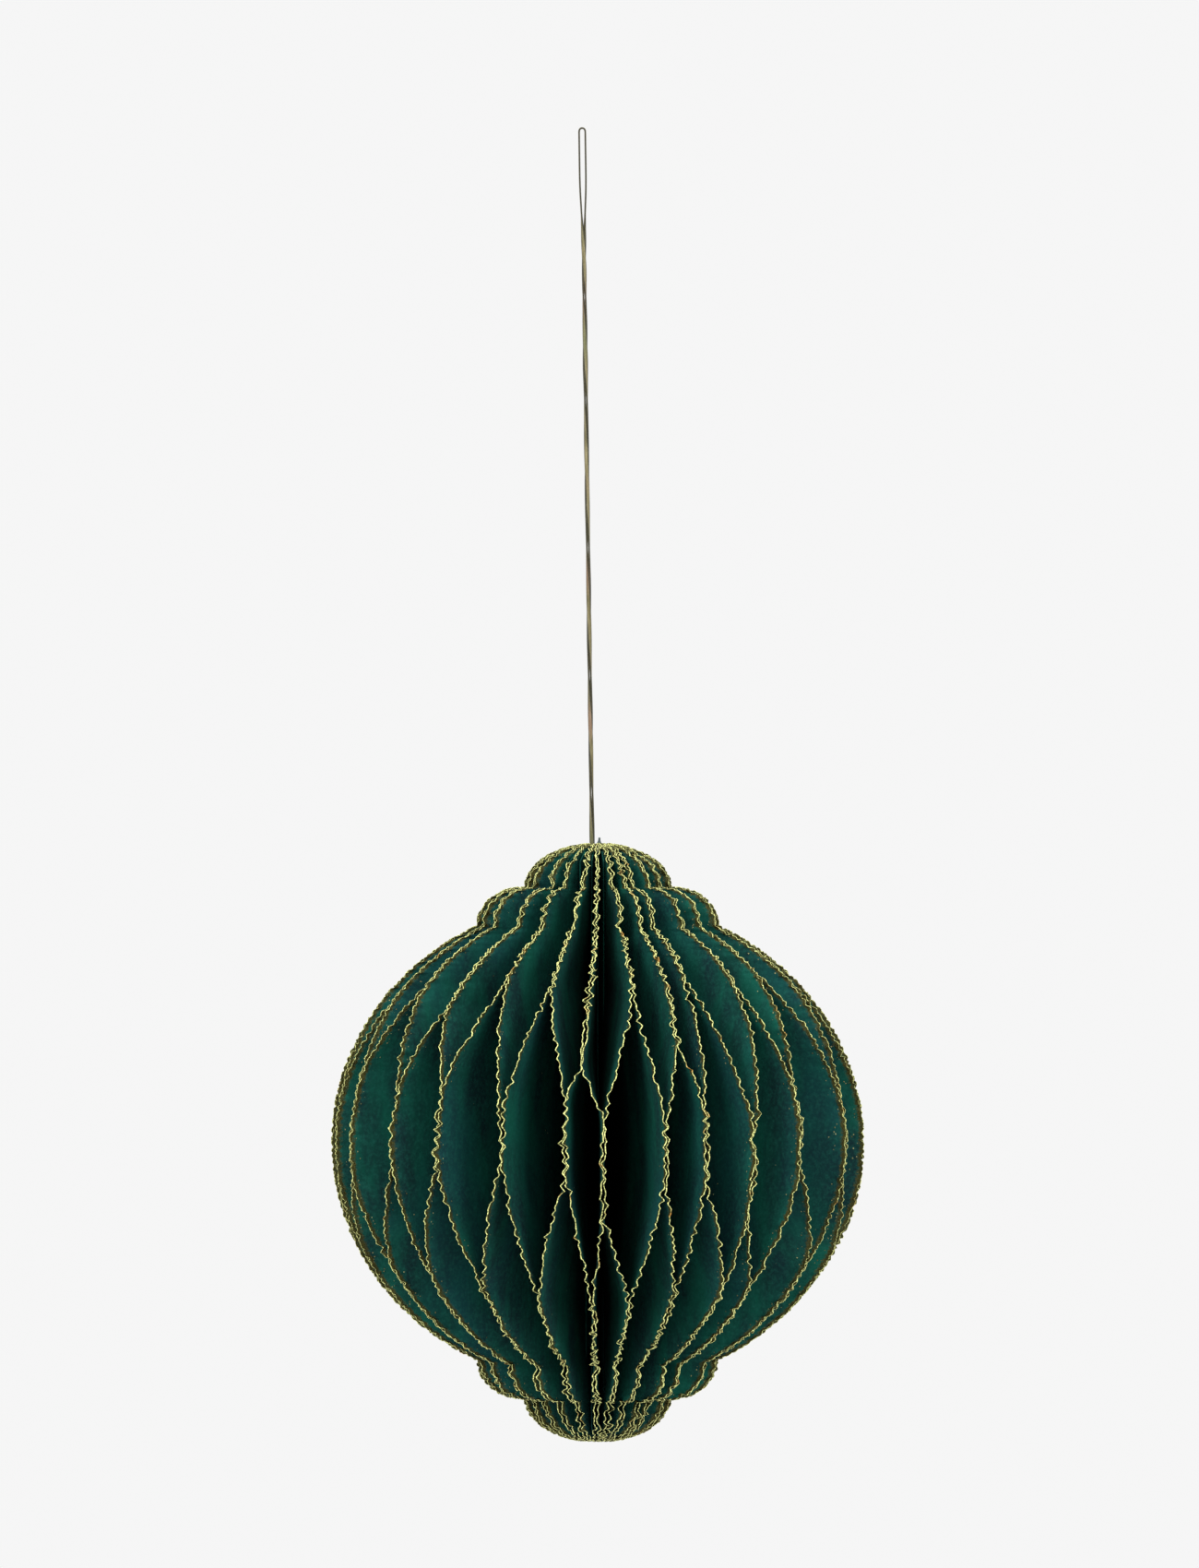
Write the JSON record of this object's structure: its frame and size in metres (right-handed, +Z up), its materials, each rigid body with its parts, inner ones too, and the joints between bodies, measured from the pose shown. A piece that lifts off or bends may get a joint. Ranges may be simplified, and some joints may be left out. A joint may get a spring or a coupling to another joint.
{
  "type": "paper honeycomb ball",
  "caption": "Hanging ball of radial paper leaves with gold deckle edges that folds flat, with a collar and small dome at each end, card covers with magnets and a ribbon loop.",
  "frame": {"origin": "where the ribbon loop hangs, on the inside of its top", "axes": "+Z up along the ball's axis, -Y the front, +X right; the two covers meet at the back"},
  "size_m": [0.15, 0.15, 0.3713],
  "materials": {
    "paper": "matte handmade paper in deep green with gold glitter along its torn edge",
    "card": "matte card faced with the same green paper",
    "magnet": "plated disc magnet",
    "thread": "dark sewing thread",
    "ribbon": "narrow woven ribbon with a dull gold thread"
  },
  "bodies": {
    "ribbon": {"ribbon_loop": "ribbon"},
    "spine": {"front_leaf": "paper", "spine_thread": "thread", "thread_knot": "thread", "ribbon_knot": "ribbon"},
    "left_cover": {"left_cover": "card", "left_magnets": "magnet"},
    "left_leaf_01": {"left_leaf_01": "paper"},
    "left_leaf_02": {"left_leaf_02": "paper"},
    "left_leaf_03": {"left_leaf_03": "paper"},
    "left_leaf_04": {"left_leaf_04": "paper"},
    "left_leaf_05": {"left_leaf_05": "paper"},
    "left_leaf_06": {"left_leaf_06": "paper"},
    "left_leaf_07": {"left_leaf_07": "paper"},
    "left_leaf_08": {"left_leaf_08": "paper"},
    "left_leaf_09": {"left_leaf_09": "paper"},
    "left_leaf_10": {"left_leaf_10": "paper"},
    "left_leaf_11": {"left_leaf_11": "paper"},
    "left_leaf_12": {"left_leaf_12": "paper"},
    "left_leaf_13": {"left_leaf_13": "paper"},
    "left_leaf_14": {"left_leaf_14": "paper"},
    "left_leaf_15": {"left_leaf_15": "paper"},
    "left_leaf_16": {"left_leaf_16": "paper"},
    "left_leaf_17": {"left_leaf_17": "paper"},
    "left_leaf_18": {"left_leaf_18": "paper"},
    "left_leaf_19": {"left_leaf_19": "paper"},
    "left_leaf_20": {"left_leaf_20": "paper"},
    "left_leaf_21": {"left_leaf_21": "paper"},
    "left_leaf_22": {"left_leaf_22": "paper"},
    "left_leaf_23": {"left_leaf_23": "paper"},
    "left_leaf_24": {"left_leaf_24": "paper"},
    "left_leaf_25": {"left_leaf_25": "paper"},
    "right_cover": {"right_cover": "card", "right_magnets": "magnet"},
    "right_leaf_01": {"right_leaf_01": "paper"},
    "right_leaf_02": {"right_leaf_02": "paper"},
    "right_leaf_03": {"right_leaf_03": "paper"},
    "right_leaf_04": {"right_leaf_04": "paper"},
    "right_leaf_05": {"right_leaf_05": "paper"},
    "right_leaf_06": {"right_leaf_06": "paper"},
    "right_leaf_07": {"right_leaf_07": "paper"},
    "right_leaf_08": {"right_leaf_08": "paper"},
    "right_leaf_09": {"right_leaf_09": "paper"},
    "right_leaf_10": {"right_leaf_10": "paper"},
    "right_leaf_11": {"right_leaf_11": "paper"},
    "right_leaf_12": {"right_leaf_12": "paper"},
    "right_leaf_13": {"right_leaf_13": "paper"},
    "right_leaf_14": {"right_leaf_14": "paper"},
    "right_leaf_15": {"right_leaf_15": "paper"},
    "right_leaf_16": {"right_leaf_16": "paper"},
    "right_leaf_17": {"right_leaf_17": "paper"},
    "right_leaf_18": {"right_leaf_18": "paper"},
    "right_leaf_19": {"right_leaf_19": "paper"},
    "right_leaf_20": {"right_leaf_20": "paper"},
    "right_leaf_21": {"right_leaf_21": "paper"},
    "right_leaf_22": {"right_leaf_22": "paper"},
    "right_leaf_23": {"right_leaf_23": "paper"},
    "right_leaf_24": {"right_leaf_24": "paper"},
    "right_leaf_25": {"right_leaf_25": "paper"}
  },
  "joints": [
    {"name": "ribbon_twist", "type": "hinge", "parent": "ribbon", "child": "spine", "pos_m": [0.0029, 0, -0.2065], "axis": [0, 0, 1], "range_deg": [-180, 180]},
    {"name": "left_cover_fold", "type": "hinge", "parent": "spine", "child": "left_cover", "pos_m": [0.00028, 0, -0.28585], "axis": [0, 0, 1], "range_deg": [0, 180]},
    {"name": "left_leaf_01_fold", "type": "hinge", "parent": "spine", "child": "left_leaf_01", "pos_m": [0.00425, -0.00248, -0.28585], "axis": [0, 0, 1], "range_deg": [0, 6.92]},
    {"name": "left_leaf_02_fold", "type": "hinge", "parent": "spine", "child": "left_leaf_02", "pos_m": [0.0041, -0.00247, -0.28585], "axis": [0, 0, 1], "range_deg": [0, 13.85]},
    {"name": "left_leaf_03_fold", "type": "hinge", "parent": "spine", "child": "left_leaf_03", "pos_m": [0.00395, -0.00246, -0.28585], "axis": [0, 0, 1], "range_deg": [0, 20.77]},
    {"name": "left_leaf_04_fold", "type": "hinge", "parent": "spine", "child": "left_leaf_04", "pos_m": [0.0038, -0.00243, -0.28585], "axis": [0, 0, 1], "range_deg": [0, 27.69]},
    {"name": "left_leaf_05_fold", "type": "hinge", "parent": "spine", "child": "left_leaf_05", "pos_m": [0.00365, -0.00241, -0.28585], "axis": [0, 0, 1], "range_deg": [0, 34.62]},
    {"name": "left_leaf_06_fold", "type": "hinge", "parent": "spine", "child": "left_leaf_06", "pos_m": [0.0035, -0.00237, -0.28585], "axis": [0, 0, 1], "range_deg": [0, 41.54]},
    {"name": "left_leaf_07_fold", "type": "hinge", "parent": "spine", "child": "left_leaf_07", "pos_m": [0.00335, -0.00233, -0.28585], "axis": [0, 0, 1], "range_deg": [0, 48.46]},
    {"name": "left_leaf_08_fold", "type": "hinge", "parent": "spine", "child": "left_leaf_08", "pos_m": [0.0032, -0.00229, -0.28585], "axis": [0, 0, 1], "range_deg": [0, 55.38]},
    {"name": "left_leaf_09_fold", "type": "hinge", "parent": "spine", "child": "left_leaf_09", "pos_m": [0.00305, -0.00223, -0.28585], "axis": [0, 0, 1], "range_deg": [0, 62.31]},
    {"name": "left_leaf_10_fold", "type": "hinge", "parent": "spine", "child": "left_leaf_10", "pos_m": [0.0029, -0.00217, -0.28585], "axis": [0, 0, 1], "range_deg": [0, 69.23]},
    {"name": "left_leaf_11_fold", "type": "hinge", "parent": "spine", "child": "left_leaf_11", "pos_m": [0.00275, -0.00211, -0.28585], "axis": [0, 0, 1], "range_deg": [0, 76.15]},
    {"name": "left_leaf_12_fold", "type": "hinge", "parent": "spine", "child": "left_leaf_12", "pos_m": [0.0026, -0.00203, -0.28585], "axis": [0, 0, 1], "range_deg": [0, 83.08]},
    {"name": "left_leaf_13_fold", "type": "hinge", "parent": "spine", "child": "left_leaf_13", "pos_m": [0.00245, -0.00195, -0.28585], "axis": [0, 0, 1], "range_deg": [0, 90]},
    {"name": "left_leaf_14_fold", "type": "hinge", "parent": "spine", "child": "left_leaf_14", "pos_m": [0.0023, -0.00186, -0.28585], "axis": [0, 0, 1], "range_deg": [0, 96.92]},
    {"name": "left_leaf_15_fold", "type": "hinge", "parent": "spine", "child": "left_leaf_15", "pos_m": [0.00215, -0.00176, -0.28585], "axis": [0, 0, 1], "range_deg": [0, 103.85]},
    {"name": "left_leaf_16_fold", "type": "hinge", "parent": "spine", "child": "left_leaf_16", "pos_m": [0.002, -0.00166, -0.28585], "axis": [0, 0, 1], "range_deg": [0, 110.77]},
    {"name": "left_leaf_17_fold", "type": "hinge", "parent": "spine", "child": "left_leaf_17", "pos_m": [0.00185, -0.00154, -0.28585], "axis": [0, 0, 1], "range_deg": [0, 117.69]},
    {"name": "left_leaf_18_fold", "type": "hinge", "parent": "spine", "child": "left_leaf_18", "pos_m": [0.0017, -0.00142, -0.28585], "axis": [0, 0, 1], "range_deg": [0, 124.62]},
    {"name": "left_leaf_19_fold", "type": "hinge", "parent": "spine", "child": "left_leaf_19", "pos_m": [0.00155, -0.00128, -0.28585], "axis": [0, 0, 1], "range_deg": [0, 131.54]},
    {"name": "left_leaf_20_fold", "type": "hinge", "parent": "spine", "child": "left_leaf_20", "pos_m": [0.0014, -0.00114, -0.28585], "axis": [0, 0, 1], "range_deg": [0, 138.46]},
    {"name": "left_leaf_21_fold", "type": "hinge", "parent": "spine", "child": "left_leaf_21", "pos_m": [0.00125, -0.00098, -0.28585], "axis": [0, 0, 1], "range_deg": [0, 145.38]},
    {"name": "left_leaf_22_fold", "type": "hinge", "parent": "spine", "child": "left_leaf_22", "pos_m": [0.0011, -0.00081, -0.28585], "axis": [0, 0, 1], "range_deg": [0, 152.31]},
    {"name": "left_leaf_23_fold", "type": "hinge", "parent": "spine", "child": "left_leaf_23", "pos_m": [0.00095, -0.00063, -0.28585], "axis": [0, 0, 1], "range_deg": [0, 159.23]},
    {"name": "left_leaf_24_fold", "type": "hinge", "parent": "spine", "child": "left_leaf_24", "pos_m": [0.0008, -0.00044, -0.28585], "axis": [0, 0, 1], "range_deg": [0, 166.15]},
    {"name": "left_leaf_25_fold", "type": "hinge", "parent": "spine", "child": "left_leaf_25", "pos_m": [0.00065, -0.00023, -0.28585], "axis": [0, 0, 1], "range_deg": [0, 173.08]},
    {"name": "right_cover_fold", "type": "hinge", "parent": "spine", "child": "right_cover", "pos_m": [0.00852, 0, -0.28585], "axis": [0, 0, -1], "range_deg": [0, 180]},
    {"name": "right_leaf_01_fold", "type": "hinge", "parent": "spine", "child": "right_leaf_01", "pos_m": [0.00455, -0.00248, -0.28585], "axis": [0, 0, -1], "range_deg": [0, 6.92]},
    {"name": "right_leaf_02_fold", "type": "hinge", "parent": "spine", "child": "right_leaf_02", "pos_m": [0.0047, -0.00247, -0.28585], "axis": [0, 0, -1], "range_deg": [0, 13.85]},
    {"name": "right_leaf_03_fold", "type": "hinge", "parent": "spine", "child": "right_leaf_03", "pos_m": [0.00485, -0.00246, -0.28585], "axis": [0, 0, -1], "range_deg": [0, 20.77]},
    {"name": "right_leaf_04_fold", "type": "hinge", "parent": "spine", "child": "right_leaf_04", "pos_m": [0.005, -0.00243, -0.28585], "axis": [0, 0, -1], "range_deg": [0, 27.69]},
    {"name": "right_leaf_05_fold", "type": "hinge", "parent": "spine", "child": "right_leaf_05", "pos_m": [0.00515, -0.00241, -0.28585], "axis": [0, 0, -1], "range_deg": [0, 34.62]},
    {"name": "right_leaf_06_fold", "type": "hinge", "parent": "spine", "child": "right_leaf_06", "pos_m": [0.0053, -0.00237, -0.28585], "axis": [0, 0, -1], "range_deg": [0, 41.54]},
    {"name": "right_leaf_07_fold", "type": "hinge", "parent": "spine", "child": "right_leaf_07", "pos_m": [0.00545, -0.00233, -0.28585], "axis": [0, 0, -1], "range_deg": [0, 48.46]},
    {"name": "right_leaf_08_fold", "type": "hinge", "parent": "spine", "child": "right_leaf_08", "pos_m": [0.0056, -0.00229, -0.28585], "axis": [0, 0, -1], "range_deg": [0, 55.38]},
    {"name": "right_leaf_09_fold", "type": "hinge", "parent": "spine", "child": "right_leaf_09", "pos_m": [0.00575, -0.00223, -0.28585], "axis": [0, 0, -1], "range_deg": [0, 62.31]},
    {"name": "right_leaf_10_fold", "type": "hinge", "parent": "spine", "child": "right_leaf_10", "pos_m": [0.0059, -0.00217, -0.28585], "axis": [0, 0, -1], "range_deg": [0, 69.23]},
    {"name": "right_leaf_11_fold", "type": "hinge", "parent": "spine", "child": "right_leaf_11", "pos_m": [0.00605, -0.00211, -0.28585], "axis": [0, 0, -1], "range_deg": [0, 76.15]},
    {"name": "right_leaf_12_fold", "type": "hinge", "parent": "spine", "child": "right_leaf_12", "pos_m": [0.0062, -0.00203, -0.28585], "axis": [0, 0, -1], "range_deg": [0, 83.08]},
    {"name": "right_leaf_13_fold", "type": "hinge", "parent": "spine", "child": "right_leaf_13", "pos_m": [0.00635, -0.00195, -0.28585], "axis": [0, 0, -1], "range_deg": [0, 90]},
    {"name": "right_leaf_14_fold", "type": "hinge", "parent": "spine", "child": "right_leaf_14", "pos_m": [0.0065, -0.00186, -0.28585], "axis": [0, 0, -1], "range_deg": [0, 96.92]},
    {"name": "right_leaf_15_fold", "type": "hinge", "parent": "spine", "child": "right_leaf_15", "pos_m": [0.00665, -0.00176, -0.28585], "axis": [0, 0, -1], "range_deg": [0, 103.85]},
    {"name": "right_leaf_16_fold", "type": "hinge", "parent": "spine", "child": "right_leaf_16", "pos_m": [0.0068, -0.00166, -0.28585], "axis": [0, 0, -1], "range_deg": [0, 110.77]},
    {"name": "right_leaf_17_fold", "type": "hinge", "parent": "spine", "child": "right_leaf_17", "pos_m": [0.00695, -0.00154, -0.28585], "axis": [0, 0, -1], "range_deg": [0, 117.69]},
    {"name": "right_leaf_18_fold", "type": "hinge", "parent": "spine", "child": "right_leaf_18", "pos_m": [0.0071, -0.00142, -0.28585], "axis": [0, 0, -1], "range_deg": [0, 124.62]},
    {"name": "right_leaf_19_fold", "type": "hinge", "parent": "spine", "child": "right_leaf_19", "pos_m": [0.00725, -0.00128, -0.28585], "axis": [0, 0, -1], "range_deg": [0, 131.54]},
    {"name": "right_leaf_20_fold", "type": "hinge", "parent": "spine", "child": "right_leaf_20", "pos_m": [0.0074, -0.00114, -0.28585], "axis": [0, 0, -1], "range_deg": [0, 138.46]},
    {"name": "right_leaf_21_fold", "type": "hinge", "parent": "spine", "child": "right_leaf_21", "pos_m": [0.00755, -0.00098, -0.28585], "axis": [0, 0, -1], "range_deg": [0, 145.38]},
    {"name": "right_leaf_22_fold", "type": "hinge", "parent": "spine", "child": "right_leaf_22", "pos_m": [0.0077, -0.00081, -0.28585], "axis": [0, 0, -1], "range_deg": [0, 152.31]},
    {"name": "right_leaf_23_fold", "type": "hinge", "parent": "spine", "child": "right_leaf_23", "pos_m": [0.00785, -0.00063, -0.28585], "axis": [0, 0, -1], "range_deg": [0, 159.23]},
    {"name": "right_leaf_24_fold", "type": "hinge", "parent": "spine", "child": "right_leaf_24", "pos_m": [0.008, -0.00044, -0.28585], "axis": [0, 0, -1], "range_deg": [0, 166.15]},
    {"name": "right_leaf_25_fold", "type": "hinge", "parent": "spine", "child": "right_leaf_25", "pos_m": [0.00815, -0.00023, -0.28585], "axis": [0, 0, -1], "range_deg": [0, 173.08]}
  ],
  "couplings": [
    {"joint": "left_leaf_01_fold", "follows": "left_cover_fold", "ratio": 0.038462},
    {"joint": "left_leaf_02_fold", "follows": "left_cover_fold", "ratio": 0.076923},
    {"joint": "left_leaf_03_fold", "follows": "left_cover_fold", "ratio": 0.11538},
    {"joint": "left_leaf_04_fold", "follows": "left_cover_fold", "ratio": 0.15385},
    {"joint": "left_leaf_05_fold", "follows": "left_cover_fold", "ratio": 0.19231},
    {"joint": "left_leaf_06_fold", "follows": "left_cover_fold", "ratio": 0.23077},
    {"joint": "left_leaf_07_fold", "follows": "left_cover_fold", "ratio": 0.26923},
    {"joint": "left_leaf_08_fold", "follows": "left_cover_fold", "ratio": 0.30769},
    {"joint": "left_leaf_09_fold", "follows": "left_cover_fold", "ratio": 0.34615},
    {"joint": "left_leaf_10_fold", "follows": "left_cover_fold", "ratio": 0.38462},
    {"joint": "left_leaf_11_fold", "follows": "left_cover_fold", "ratio": 0.42308},
    {"joint": "left_leaf_12_fold", "follows": "left_cover_fold", "ratio": 0.46154},
    {"joint": "left_leaf_13_fold", "follows": "left_cover_fold", "ratio": 0.5},
    {"joint": "left_leaf_14_fold", "follows": "left_cover_fold", "ratio": 0.53846},
    {"joint": "left_leaf_15_fold", "follows": "left_cover_fold", "ratio": 0.57692},
    {"joint": "left_leaf_16_fold", "follows": "left_cover_fold", "ratio": 0.61538},
    {"joint": "left_leaf_17_fold", "follows": "left_cover_fold", "ratio": 0.65385},
    {"joint": "left_leaf_18_fold", "follows": "left_cover_fold", "ratio": 0.69231},
    {"joint": "left_leaf_19_fold", "follows": "left_cover_fold", "ratio": 0.73077},
    {"joint": "left_leaf_20_fold", "follows": "left_cover_fold", "ratio": 0.76923},
    {"joint": "left_leaf_21_fold", "follows": "left_cover_fold", "ratio": 0.80769},
    {"joint": "left_leaf_22_fold", "follows": "left_cover_fold", "ratio": 0.84615},
    {"joint": "left_leaf_23_fold", "follows": "left_cover_fold", "ratio": 0.88462},
    {"joint": "left_leaf_24_fold", "follows": "left_cover_fold", "ratio": 0.92308},
    {"joint": "left_leaf_25_fold", "follows": "left_cover_fold", "ratio": 0.96154},
    {"joint": "right_cover_fold", "follows": "left_cover_fold", "ratio": 1},
    {"joint": "right_leaf_01_fold", "follows": "left_cover_fold", "ratio": 0.038462},
    {"joint": "right_leaf_02_fold", "follows": "left_cover_fold", "ratio": 0.076923},
    {"joint": "right_leaf_03_fold", "follows": "left_cover_fold", "ratio": 0.11538},
    {"joint": "right_leaf_04_fold", "follows": "left_cover_fold", "ratio": 0.15385},
    {"joint": "right_leaf_05_fold", "follows": "left_cover_fold", "ratio": 0.19231},
    {"joint": "right_leaf_06_fold", "follows": "left_cover_fold", "ratio": 0.23077},
    {"joint": "right_leaf_07_fold", "follows": "left_cover_fold", "ratio": 0.26923},
    {"joint": "right_leaf_08_fold", "follows": "left_cover_fold", "ratio": 0.30769},
    {"joint": "right_leaf_09_fold", "follows": "left_cover_fold", "ratio": 0.34615},
    {"joint": "right_leaf_10_fold", "follows": "left_cover_fold", "ratio": 0.38462},
    {"joint": "right_leaf_11_fold", "follows": "left_cover_fold", "ratio": 0.42308},
    {"joint": "right_leaf_12_fold", "follows": "left_cover_fold", "ratio": 0.46154},
    {"joint": "right_leaf_13_fold", "follows": "left_cover_fold", "ratio": 0.5},
    {"joint": "right_leaf_14_fold", "follows": "left_cover_fold", "ratio": 0.53846},
    {"joint": "right_leaf_15_fold", "follows": "left_cover_fold", "ratio": 0.57692},
    {"joint": "right_leaf_16_fold", "follows": "left_cover_fold", "ratio": 0.61538},
    {"joint": "right_leaf_17_fold", "follows": "left_cover_fold", "ratio": 0.65385},
    {"joint": "right_leaf_18_fold", "follows": "left_cover_fold", "ratio": 0.69231},
    {"joint": "right_leaf_19_fold", "follows": "left_cover_fold", "ratio": 0.73077},
    {"joint": "right_leaf_20_fold", "follows": "left_cover_fold", "ratio": 0.76923},
    {"joint": "right_leaf_21_fold", "follows": "left_cover_fold", "ratio": 0.80769},
    {"joint": "right_leaf_22_fold", "follows": "left_cover_fold", "ratio": 0.84615},
    {"joint": "right_leaf_23_fold", "follows": "left_cover_fold", "ratio": 0.88462},
    {"joint": "right_leaf_24_fold", "follows": "left_cover_fold", "ratio": 0.92308},
    {"joint": "right_leaf_25_fold", "follows": "left_cover_fold", "ratio": 0.96154}
  ]
}
